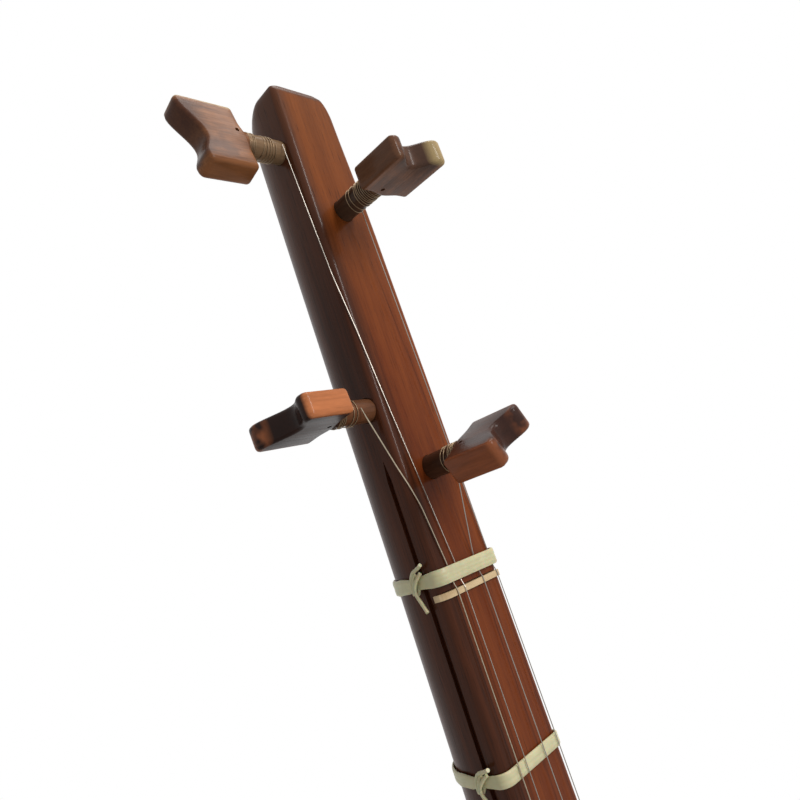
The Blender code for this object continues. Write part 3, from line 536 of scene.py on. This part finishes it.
def varnish_group():
    """A peg's wood: dark in its hollow, lighter on its narrow edges by painted light, paler at its
    tips by wear and painted light, with a painted highlight on an upper edge.
    """
    made, tree, given, results = new_group(
        "peg_varnish",
        {
            "Vector": "Vector", "Seed": "Float", "Across": "Float", "Start": "Float",
            "End": "Float", "Half": "Float", "Reach": "Float", "Edge": "Color",
            "Light": "Color", "Dark": "Color", "Hollow": "Color", "Shaft": "Color",
            "Tip": "Color", "Tip wear and light": "Float", "Edge highlight": "Float",
        },
        {"Color": "Color", "Streak": "Float"},
    )

    def near(value, limit, band, to_low=0.0, to_high=1.0):
        """Changes between two distances short of a limit."""
        first, last = (tree.maths("SUBTRACT", limit, short) for short in band)
        return tree.spread(value, first, last, to_low, to_high)

    point, seed, half = given["Vector"], given["Seed"], given["Half"]
    along, across, _ = tree.apart(point)
    across = tree.maths("SUBTRACT", across, given["Across"])
    aside = tree.maths("ABSOLUTE", across)
    figure = tree.noise(
        tree.mapped(point, (45, 300, 300), tree.together(seed, 0.0, 0.0)), 4.0, 0.6
    )
    streak = tree.noise(tree.mapped(point, (160, 1500, 1500)), 4.0, 0.6)
    cloud = tree.noise(tree.mapped(point, (90, 90, 90), tree.together(7.0, seed, 3.0)), 3.0, 0.55)
    tone = tree.spread(tree.maths("ADD", figure, tree.maths("MULTIPLY", streak, 0.5)), 0.55, 0.95)

    # On the lower pegs the narrow edges are painted light and the broad faces painted shade
    broad = tree.mix(tone, given["Dark"], given["Light"])
    shaded = tree.tinted(given["Edge"], tree.spread(tone, 0.0, 1.0, 0.62, 1.1))
    narrow = tree.mix(0.8, given["Edge"], shaded)
    colour = tree.mix(near(aside, half, NARROW_EDGE), broad, narrow)

    # Darker at the hollow end and in random patches over the broad faces
    inside = near(aside, half, HOLLOW_SIDES)
    darker_share = tree.maths("MULTIPLY", near(along, given["End"], HOLLOW_END), inside)
    patch = tree.maths("MULTIPLY", tree.spread(cloud, 0.50, 0.62, 0.0, 0.6), inside)
    darker_share = tree.maths("MULTIPLY", tree.maths("MAXIMUM", darker_share, patch), 0.85)
    colour = tree.mix(darker_share, colour, given["Hollow"])

    # A pale band along the upper edge is a painted highlight
    uneven = tree.maths("ADD", across, tree.spread(cloud, 0.3, 0.7, -0.0004, 0.0004))
    highlit = near(uneven, half, EDGE_HIGHLIGHT_BAND, 0.0, given["Edge highlight"])
    colour = tree.mix(highlit, colour, EDGE_HIGHLIGHT_COLOUR)

    shaft = tree.mix(tone, tree.dimmed(given["Shaft"], 0.6), given["Shaft"])
    colour = tree.mix(near(along, given["Start"], SHAFT_END, 1.0, 0.0), colour, shaft)

    # Paler tips: worn on the upper front peg, painted light on the lower pegs
    pale = tree.maths(
        "MULTIPLY", near(along, given["Reach"], PALE_TIPS), tree.spread(cloud, 0.40, 0.50)
    )
    pale = tree.maths("MULTIPLY", pale, given["Tip wear and light"])
    tree.fill(results, {"Color": tree.mix(pale, colour, given["Tip"]), "Streak": streak})
    return made


def peg_material(name, varnish):
    """One peg's varnished wood, its grain along the shaft."""
    peg = PEGS[name]
    made, tree, shader = new_material(
        f"peg_{name}_varnish",
        {"Specular IOR Level": 0.06, "Coat Weight": 0.12, "Coat Roughness": 0.12},
    )
    # The side pegs share one figure and the front pegs another, by the length of their names
    wood = tree.group(varnish, {
        "Vector": tree.add("ShaderNodeAttribute", attribute_name="along").outputs["Vector"],
        "Seed": len(name),
        "Across": peg.shift_across,
        "Start": peg.start,
        "End": peg.end,
        "Half": peg.width / 2,
        "Reach": peg.end + max(peg.upper_horn, peg.lower_horn),
        "Edge": peg.edge,
        "Light": peg.light,
        "Dark": peg.dark,
        "Hollow": peg.hollow,
        "Shaft": peg.shaft,
        "Tip": peg.tip,
        "Tip wear and light": peg.tip_wear_and_light,
        "Edge highlight": peg.edge_highlight,
    })
    rough = tree.spread(wood["Streak"], 0.3, 0.7, 0.26, 0.38)
    normal = tree.bump(wood["Streak"], 0.00012, 0.35)
    tree.fill(shader, {"Base Color": wood["Color"], "Roughness": rough, "Normal": normal})
    return made


def gut_material():
    """Strands of gut side by side, slightly see-through."""
    made, tree, shader = new_material(
        "gut_strands",
        {"Roughness": 0.42, "Subsurface Weight": 0.25, "Subsurface Scale": 0.001},
    )
    point = tree.point()
    cloud = tree.noise(tree.mapped(point, (300, 300, 300)), 3.0)
    height = tree.apart(point)[2]
    strands = tree.maths("SINE", tree.maths("MULTIPLY", height, 2 * math.pi / GUT_STRAND))
    normal = tree.bump(strands, 0.00008, 0.25)
    tree.fill(shader, {"Base Color": tree.mix(cloud, *GUT_COLOURS), "Normal": normal})
    return made


def bone_material():
    """Yellowed bone, faintly clouded and polished."""
    made, tree, shader = new_material("polished_bone", {"Roughness": 0.34})
    cloud = tree.noise(tree.mapped(tree.point(), (60, 400, 400)), 4.0)
    colour = tree.mix(tree.spread(cloud, 0.3, 0.7), *BONE_COLOURS)
    tree.fill(shader, {"Base Color": colour, "Normal": tree.bump(cloud, 0.00005, 0.4)})
    return made


def tarnish_group():
    """Metal that is duller and rougher in small patches."""
    made, tree, given, results = new_group(
        "wire_tarnish",
        {"Vector": "Vector", "Bright": "Color", "Roughness": "Float"},
        {"Color": "Color", "Roughness": "Float"},
    )
    cloud = tree.noise(tree.mapped(given["Vector"], (1500, 1500, 1500)), 3.0)
    colour = tree.mix(cloud, tree.dimmed(given["Bright"], 0.6), given["Bright"])
    smoothest = tree.maths("SUBTRACT", given["Roughness"], 0.06)
    roughest = tree.maths("ADD", given["Roughness"], 0.08)
    rough = tree.spread(cloud, 0.3, 0.7, smoothest, roughest)
    tree.fill(results, {"Color": colour, "Roughness": rough})
    return made


def wire_material(name, tarnish):
    """Drawn brass or steel, or the tarnished wire on the pegs."""
    bright, rough = WIRES[name]
    made, tree, shader = new_material(name, {"Metallic": 1.0})
    metal = tree.group(tarnish, {"Vector": tree.point(), "Bright": bright, "Roughness": rough})
    tree.fill(shader, {"Base Color": metal["Color"], "Roughness": metal["Roughness"]})
    return made


def place_camera():
    """The camera at the photograph's place, turned to its right and down directions."""
    data = bpy.data.cameras.new("camera")
    data.sensor_width = CAMERA_SENSOR
    data.lens = CAMERA_LENS
    data.clip_start = CAMERA_NEAR
    obj = bpy.data.objects.new("camera", data)
    bpy.context.scene.collection.objects.link(obj)
    right = CAMERA_RIGHT.normalized()
    down = (CAMERA_DOWN - right * CAMERA_DOWN.dot(right)).normalized()
    forward = right.cross(down).normalized()
    turn = Matrix((right, -down, -forward)).transposed().to_4x4()
    obj.matrix_world = Matrix.Translation(CAMERA_PLACE) @ turn
    bpy.context.scene.camera = obj


def area_light(name, place, size, power, colour):
    """A soft rectangular lamp that looks at the foot of the head."""
    data = bpy.data.lights.new(name, "AREA")
    data.energy = power
    data.color = colour
    data.shape = "RECTANGLE"
    data.size, data.size_y = size
    obj = bpy.data.objects.new(name, data)
    obj.location = place
    aim = LAMPS_AIM - Vector(place)
    obj.rotation_euler = aim.to_track_quat("-Z", "Y").to_euler()
    bpy.context.scene.collection.objects.link(obj)


def place_world():
    """White where the camera, a reflection or a see-through piece shows it, else a soft light."""
    world = bpy.data.worlds.new("studio")
    world.use_nodes = True
    world.node_tree.nodes.clear()
    tree = Tree(world.node_tree)
    seen, light = (
        tree.add("ShaderNodeBackground", {"Color": colour, "Strength": strength}).outputs[0]
        for colour, strength in (WORLD_SEEN, WORLD_LIGHT)
    )
    rays = tree.add("ShaderNodeLightPath").outputs
    shown = tree.maths("MAXIMUM", rays["Is Camera Ray"], rays["Is Glossy Ray"])
    shown = tree.maths("MAXIMUM", shown, rays["Is Transmission Ray"])
    mixed = tree.add("ShaderNodeMixShader", {0: shown, 1: light, 2: seen}).outputs[0]
    tree.add("ShaderNodeOutputWorld", {0: mixed})
    bpy.context.scene.world = world


def place_floor():
    """A round pale floor, small enough to stay below the photograph's view."""
    bpy.ops.mesh.primitive_circle_add(
        vertices=FLOOR_SIDES,
        radius=FLOOR_RADIUS,
        fill_type="NGON",
        location=(0, 0, cad_low[2] - FLOOR_BELOW),
    )
    floor = bpy.context.object
    floor.name = "floor"
    made, tree, shader = new_material("pale_floor", {"Roughness": 0.85})
    cloud = tree.noise(tree.mapped(tree.point(), (3, 3, 3)), 3.0)
    tree.fill(shader, {"Base Color": tree.mix(cloud, *FLOOR_COLOURS)})
    floor.data.materials.append(made)


def deselect():
    for obj in bpy.context.selected_objects:
        obj.select_set(False)


def pick(*objects):
    """Selects these objects alone and makes the first of them active."""
    deselect()
    for obj in objects:
        obj.select_set(True)
    bpy.context.view_layer.objects.active = objects[0]


def dress(obj, made):
    """Gives an object one finish all over."""
    obj.data.materials.clear()
    obj.data.materials.append(made)


def smooth(obj, degrees):
    pick(obj)
    bpy.ops.object.shade_smooth_by_angle(angle=math.radians(degrees))


def settle(obj, name, made, body, node):
    """Names a finished piece, dresses it, sets it on its body and puts it in its node's place."""
    obj.name = name
    obj.data.name = name
    dress(obj, made)
    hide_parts(node)
    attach(obj, body)


def apply_modifiers(obj):
    bpy.context.view_layer.objects.active = obj
    for modifier in list(obj.modifiers):
        bpy.ops.object.modifier_apply(modifier=modifier.name)


def cut(obj, cutter, operation="DIFFERENCE"):
    """Cuts an object with another, or joins it on, and takes the cutter away."""
    boolean = obj.modifiers.new("cut", "BOOLEAN")
    boolean.operation = operation
    boolean.solver = "EXACT"
    boolean.object = cutter
    apply_modifiers(obj)
    bpy.data.objects.remove(cutter)


def skin(name, rings, around=False):
    """A closed skin over rings of points; the last meets the first if asked, or both are capped."""
    count = len(rings[0])
    points = [tuple(point) for ring in rings for point in ring]
    faces = []
    for r in range(len(rings) if around else len(rings) - 1):
        n = (r + 1) % len(rings)
        for i in range(count):
            j = (i + 1) % count
            faces.append((r * count + i, r * count + j, n * count + j, n * count + i))
    if not around:
        faces.append(tuple(reversed(range(count))))
        faces.append(tuple(range(len(points) - count, len(points))))
    mesh = bpy.data.meshes.new(name)
    mesh.from_pydata(points, [], faces)
    obj = bpy.data.objects.new(name, mesh)
    bpy.context.scene.collection.objects.link(obj)
    pick(obj)
    bpy.ops.object.mode_set(mode="EDIT")
    bpy.ops.mesh.select_all(action="SELECT")
    bpy.ops.mesh.normals_make_consistent(inside=False)
    bpy.ops.object.mode_set(mode="OBJECT")
    return obj


def round_curve(name, kind, points, radius, roundness):
    """A round wire or cord along points, closed at both ends."""
    curve = bpy.data.curves.new(name, "CURVE")
    curve.dimensions = "3D"
    curve.bevel_depth = radius
    curve.bevel_resolution = roundness
    curve.use_fill_caps = True
    spline = curve.splines.new(kind)
    spline.points.add(len(points) - 1)
    for spot, place in zip(spline.points, points):
        spot.co = (*place, 1.0)
    obj = bpy.data.objects.new(name, curve)
    bpy.context.scene.collection.objects.link(obj)
    return obj


def ease(share):
    """From 0 to 1, slow at both ends."""
    share = min(max(share, 0.0), 1.0)
    return share * share * (3 - 2 * share)


def eased(z, amount, start, length):
    """An amount that comes in over a length of the neck."""
    return amount * ease((z - start) / length)


def crowned(z, amount, start):
    """An amount that comes in along a quarter round up to the top of the head."""
    share = min(max((z - start) / (HEAD_TOP - start), 0.0), 1.0)
    return amount * (1 - math.sqrt(max(0.0, 1 - share * share)))


def neck_section(z):
    """Bass half width, treble half width, straight side, depth and front set-back."""
    down = min(max(-z / NECK_FOOT, 0.0), 1.0)
    half = HALF_WIDTH + HALF_GAIN * down
    depth = DEPTH + DEPTH_GAIN * down
    side = STRAIGHT_SIDE - eased(-z, *SIDE_LOSS)
    # The head narrows a little on the bass side and more on the treble side, then rounds over
    bass = half - eased(z, *BASS_TAPER) - crowned(z, *BASS_CROWN)
    treble = half - eased(z, *TREBLE_TAPER) - eased(z, *TREBLE_HEAD) - crowned(z, *TREBLE_CROWN)
    depth -= crowned(z, *BACK_CROWN)
    return bass, treble, side, depth, eased(z, *FRONT_BACK)


def neck_round(z, grow=0.0, lift=0.0, back_steps=28, edge_steps=7):
    """Points round the neck from its front, down the bass side, round the back and up."""
    bass, treble, side, depth, front = neck_section(z)
    edges = []
    for half, sign, (across, down) in ((bass, -1, BASS_EDGE), (treble, 1, TREBLE_EDGE)):
        edge = []
        for i in range(edge_steps + 1):
            angle = math.pi / 2 * i / edge_steps
            x = half - across + (across + grow) * math.sin(angle)
            y = down - (down + grow + lift) * math.cos(angle) + front * math.cos(angle)
            edge.append((sign * x, y))
        edges.append(edge)
    back = []
    for i in range(back_steps + 1):
        angle = math.pi * i / back_steps
        half = bass if angle < math.pi / 2 else treble
        x = -(half + grow) * math.cos(angle)
        back.append((x, side + (depth - side + grow) * math.sin(angle)))
    return edges[0] + back + list(reversed(edges[1]))


def peg_frame(peg):
    """A peg's own axes: X out along its shaft, Y across its grip."""
    angle = math.radians(peg.turn)
    if peg.face == "side":
        out, sideways = Vector((-1, 0, 0)), Vector((0, -1, 0))
        place = (SIDE_PEG_X, peg.offset, peg.height)
    else:
        out, sideways = Vector((0, -1, 0)), Vector((1, 0, 0))
        place = (peg.offset, 0.0, peg.height)
    across = Vector((0, 0, 1)) * math.cos(angle) + sideways * math.sin(angle)
    turned = Matrix((out, across, out.cross(across))).transposed().to_4x4()
    return Matrix.Translation(place) @ turned


def shaft_ring(along, across, through):
    """Points round a peg's shaft in its own axes."""
    angles = (2 * math.pi * i / SHAFT_SIDES for i in range(SHAFT_SIDES))
    return [Vector((along, across * math.cos(a), through * math.sin(a))) for a in angles]


def cut_groove(neck):
    """The groove down the bass side that the frets' knots sit in."""
    rings = []
    for z, share in GROOVE_ENDS:
        x = -neck_section(z)[0]
        deep, half = GROOVE_DEEP * share, GROOVE_HALF * share
        corners = ((-GROOVE_CLEAR, -half), (deep, -half), (deep, half), (-GROOVE_CLEAR, half))
        rings.append([(x + dx, GROOVE_MIDDLE + dy, z) for dx, dy in corners])
    cut(neck, skin("groove", rings))


def cut_slot(neck):
    """The slot across the face that the nut sits in."""
    corners = (
        (-SLOT_REACH, -SLOT_ABOVE), (SLOT_REACH, -SLOT_ABOVE),
        (SLOT_REACH, SLOT_DEEP), (-SLOT_REACH, SLOT_DEEP),
    )
    cut(neck, skin("slot", [[(x, y, z) for x, y in corners] for z in (-SLOT_HALF, SLOT_HALF)]))


def carve_neck(made):
    """The neck with its head, knot groove, nut slot and peg holes."""
    heights = list(NECK_HEIGHTS)
    for i in range(1, CROWN_STEPS + 1):
        heights.append(CROWN + (HEAD_TOP - CROWN) * math.sin(math.pi / 2 * i / CROWN_STEPS))
    neck = skin("neck_carved", [[(x, y, z) for x, y in neck_round(z)] for z in heights])
    cut_groove(neck)
    cut_slot(neck)
    for peg in PEGS.values():
        turned = peg_frame(peg)
        rings = [[turned @ point for point in shaft_ring(s, r, r)] for s, r in HOLE]
        cut(neck, skin("hole", rings))
    smooth(neck, NECK_CREASE)
    settle(neck, "neck_carved", made, "lute", "neck")


def sliced_block(peg):
    """A block the size of the grip, sliced across so that its ends can be shaped."""
    deselect()
    bpy.ops.mesh.primitive_cube_add(size=1.0)
    grip = bpy.context.object
    grip.scale = (peg.end - peg.start, peg.width, peg.thick)
    grip.location = ((peg.start + peg.end) / 2, 0, 0)
    bpy.ops.object.transform_apply(location=True, rotation=True, scale=True)
    bpy.ops.object.mode_set(mode="EDIT")
    for i in range(1, GRIP_SLICES):
        bpy.ops.mesh.select_all(action="SELECT")
        w = peg.width * (i / GRIP_SLICES - 0.5)
        bpy.ops.mesh.bisect(plane_co=(0, w, 0), plane_no=(0, 1, 0))
    bpy.ops.object.mode_set(mode="OBJECT")
    return grip


def shape_grip(grip, peg):
    """Hollows the grip's outer end between two horns and arches the end by the shaft."""
    reach = peg.width / 2 - HORN_TIP
    deepest = -HOLLOW_LEAN * (peg.upper_horn - peg.lower_horn)
    for vert in grip.data.vertices:
        s, w, _ = vert.co
        if s > (peg.start + peg.end) / 2:
            side = reach - deepest if w > deepest else reach + deepest
            share = min(abs(w - deepest) / side, 1.0)
            hollow = (0.5 + 0.5 * math.cos(math.pi * share)) ** HOLLOW_CURVE
            vert.co.x -= HOLLOW_DEEP * hollow
            horn = peg.upper_horn if w > deepest else peg.lower_horn
            vert.co.x += horn * ease(share)
            rounded = max(abs(w) - reach, 0.0) / HORN_TIP
            vert.co.x -= HORN_ROUND * rounded**2
            vert.co.y *= 1.0 - HORN_TUCK * (1 - rounded)
        else:
            vert.co.x -= CHIN_DEEP * ease(1 - abs(w) / CHIN_HALF)
    bevel = grip.modifiers.new("edges", "BEVEL")
    bevel.width = GRIP_BEVEL
    bevel.segments = BEVEL_STEPS
    bevel.limit_method = "ANGLE"
    bevel.angle_limit = math.radians(BEVEL_ANGLE)
    apply_modifiers(grip)
    for vert in grip.data.vertices:
        vert.co.y += peg.shift_across
        vert.co.z += peg.shift_through


def tapered_shaft(peg):
    """The shaft, which widens into the grip and stays inside its thickness."""
    rings = []
    collar = tuple((peg.start + s, r) for s, r in SHAFT_COLLAR)
    for s, r in SHAFT_INNER + collar:
        wide = r + (COLLAR_SPREAD if s > peg.start - COLLAR_BEFORE else 0.0)
        rings.append(shaft_ring(s, wide, min(r, peg.thick / 2 - COLLAR_SKIN)))
    return skin("shaft", rings)


def carve_peg(name, made):
    """A hollowed grip on a tapered shaft, with a hole for the string's end."""
    peg = PEGS[name]
    grip = sliced_block(peg)
    shape_grip(grip, peg)
    cut(grip, tapered_shaft(peg), "UNION")
    bpy.ops.mesh.primitive_cylinder_add(
        vertices=16,
        radius=STRING_HOLE,
        depth=STRING_HOLE_LONG,
        location=(peg.start + STRING_HOLE_IN, STRING_HOLE_UP, 0),
    )
    cut(grip, bpy.context.object)
    # The varnish follows each point's place in the peg's own axes
    local = grip.data.attributes.new("along", "FLOAT_VECTOR", "POINT")
    for i, vert in enumerate(grip.data.vertices):
        local.data[i].vector = vert.co
    grip.data.transform(peg_frame(peg))
    smooth(grip, PEG_CREASE)
    settle(grip, f"peg_{name}_carved", made, f"peg_{name}", f"peg_{name}")


def wound_path(groups):
    """Points of one wire, in close turns by the grip and looser turns where it leaves."""
    points = []
    angle = 0.0

    def wind(s, r):
        nonlocal angle
        points.append((s, r * math.cos(angle), r * math.sin(angle)))
        angle += 2 * math.pi / TURN_STEPS

    along, along_rate = UNEVEN_ALONG
    out, out_rate = UNEVEN_OUT
    for index, (first, last, turns) in enumerate(groups):
        steps = turns * TURN_STEPS
        for i in range(steps + 1):
            s = first + (last - first) * (i / steps) + along * math.sin(along_rate * angle + index)
            wind(s, WOUND_SHAFT + WIRE / 2 + out * math.sin(out_rate * angle))
        if index + 1 < len(groups):
            target = groups[index + 1][0]
            for i in range(1, CROSSING_STEPS):
                wind(last + (target - last) * (i / CROSSING_STEPS), WOUND_SHAFT + WIRE / 2)
    return points


def wind_wire(name, made):
    """The wire wound on one peg's shaft, in place of its plain winding."""
    peg = PEGS[name]
    turned = peg_frame(peg)
    points = [turned @ Vector(point) for point in wound_path(peg.turns)]
    pick(round_curve("wire", "POLY", points, WIRE / 2, roundness=2))
    bpy.ops.object.convert(target="MESH")
    wire = bpy.context.object
    smooth(wire, WIRE_CREASE)
    settle(wire, f"winding_{name}_wire", made, f"peg_{name}", f"winding_{name}")


def strap_loop(centre, width, thick, lift, seed):
    """A flat loop of strands round the neck, pinched where its knot draws it in."""
    under = neck_round(centre, STRAP_CLEAR, lift, *STRAP_STEPS)
    over = neck_round(centre, STRAP_CLEAR + thick, lift, *STRAP_STEPS)
    far, in_depth, across_neck = STRAP_WAVE
    rings = []
    for (ix, iy), (ox, oy) in zip(under, over):
        near = math.hypot(ix - KNOT_X, iy - KNOT_Y)
        half = width / 2 * (1 - KNOT_PINCH * math.exp(-((near / KNOT_REACH) ** 2)))
        wave = far * math.sin(seed + in_depth * iy + across_neck * ix)
        rings.append([
            (ix + (ox - ix) * out, iy + (oy - iy) * out, centre + half * across + wave)
            for across, out in STRAP_SECTION
        ])
    return skin("strap", rings, around=True)


def knot_cords(centre, width, thick):
    """The knot's two cords, each with a cut end: one passes under the strap, one stays over."""
    r = WIDE_CORD if width > BROAD_STRAP else FINE_CORD
    half = neck_section(centre)[0]
    rise = width * 0.5 + r
    out = -(half + STRAP_CLEAR + thick + r)
    inside = -(half + STRAP_CLEAR + r * 0.6)
    under = (
        (out + 0.0002, KNOT_Y - 0.0030, centre + width * 0.62),
        (out - 0.0006, KNOT_Y - 0.0008, centre + width * 0.25),
        (out - 0.0008, KNOT_Y + 0.0006, centre - width * 0.30),
        (out, KNOT_Y + 0.0012, centre - rise),
        (inside, KNOT_Y + 0.0004, centre - rise),
        (inside, KNOT_Y - 0.0002, centre + rise),
        (out, KNOT_Y - 0.0004, centre + rise),
        (out - 0.0009, KNOT_Y + 0.0002, centre),
        (out - 0.0002, KNOT_Y + 0.0010, centre - rise * 1.1),
        (out + 0.0001, KNOT_Y - 0.0002, centre - width * 1.25),
        (out - 0.0003, KNOT_Y - 0.0014, centre - width * 1.75),
    )
    over = (
        (out, KNOT_Y + 0.0016, centre - rise * 0.9),
        (out - 0.0007, KNOT_Y + 0.0013, centre),
        (out, KNOT_Y + 0.0007, centre + rise * 1.05),
        (out - 0.0004, KNOT_Y - 0.0014, centre + width * 0.85),
        (out - 0.0006, KNOT_Y - 0.0036, centre + width * 0.95),
        (out - 0.0010, KNOT_Y - 0.0052, centre + width * 1.12),
    )
    cords = []
    for path in (under, over):
        cord = round_curve("cord", "NURBS", path, r, roundness=3)
        cord.data.resolution_u = 6
        cord.data.splines[0].use_endpoint_u = True
        cord.data.splines[0].order_u = 4
        cords.append(cord)
    pick(*cords)
    bpy.ops.object.convert(target="MESH")
    return list(bpy.context.selected_objects)


def tie_strap(node, centre, width, thick, lift, seed, made):
    """A gut strap tied round the neck, with its knot and two cut ends."""
    loop = strap_loop(centre, width, thick, lift, seed)
    pick(loop, *knot_cords(centre, width, thick))
    bpy.ops.object.join()
    smooth(loop, STRAP_CREASE)
    settle(loop, node + "_tied", made, "lute", node)


def tie_straps(made):
    """The band over the strings above the nut, and the frets, finer down the neck."""
    tie_strap("string_band", BAND_HEIGHT, BAND_WIDTH, FIRST_THICK, BAND_LIFT, 1, made)
    for index in range(1, FRETS + 1):
        node = f"fret_{index:02d}"
        low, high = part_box(node)
        share = (index - 1) / (FRETS - 1)
        width = FIRST_WIDTH - WIDTH_LOSS * math.sqrt(share)
        thick = FIRST_THICK - THICK_LOSS * share
        tie_strap(node, (low.z + high.z) / 2, width, thick, 0.0, index, made)


def dress_solids(brass, steel):
    """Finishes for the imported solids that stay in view."""
    grain = grain_group()
    woods = {name: wood_material(name, grain) for name in WOODS}
    bone = bone_material()
    finishes = {
        "soundboard": woods["board_oiled"],
        "neck_block": woods["block_bare"],
        "tail_block": woods["block_bare"],
        "tail_cap": woods["cap_polished"],
        "bridge": woods["cap_polished"],
        "nut": bone,
        "tailpiece": bone,
        "string_bass": brass,
        "string_drone": steel,
        "string_middle": steel,
        "string_treble": steel,
    }
    for index in range(1, STAVES + 1):
        tone = "stave_light_polished" if index % 2 else "stave_dark_polished"
        finishes[f"bowl_stave_{index:02d}"] = woods[tone]
    for name, made in finishes.items():
        dress(NODES[name], made)


place_camera()
carve_neck(neck_material())
varnish = varnish_group()
for name in PEGS:
    carve_peg(name, peg_material(name, varnish))
tarnish = tarnish_group()
old_wire = wire_material("wire_tarnished", tarnish)
for name in PEGS:
    wind_wire(name, old_wire)
tie_straps(gut_material())
dress_solids(wire_material("brass_drawn", tarnish), wire_material("steel_drawn", tarnish))
place_world()
place_floor()
area_light(
    "window", place=(0.28, -1.46, 0.60), size=(0.22, 0.9), power=15.0, colour=(1.0, 0.98, 0.96)
)
area_light(
    "above", place=(0.5, -0.5, 1.6), size=(0.9, 0.9), power=14.0, colour=(1.0, 0.97, 0.93)
)

scene = bpy.context.scene
scene.view_settings.view_transform = "Standard"
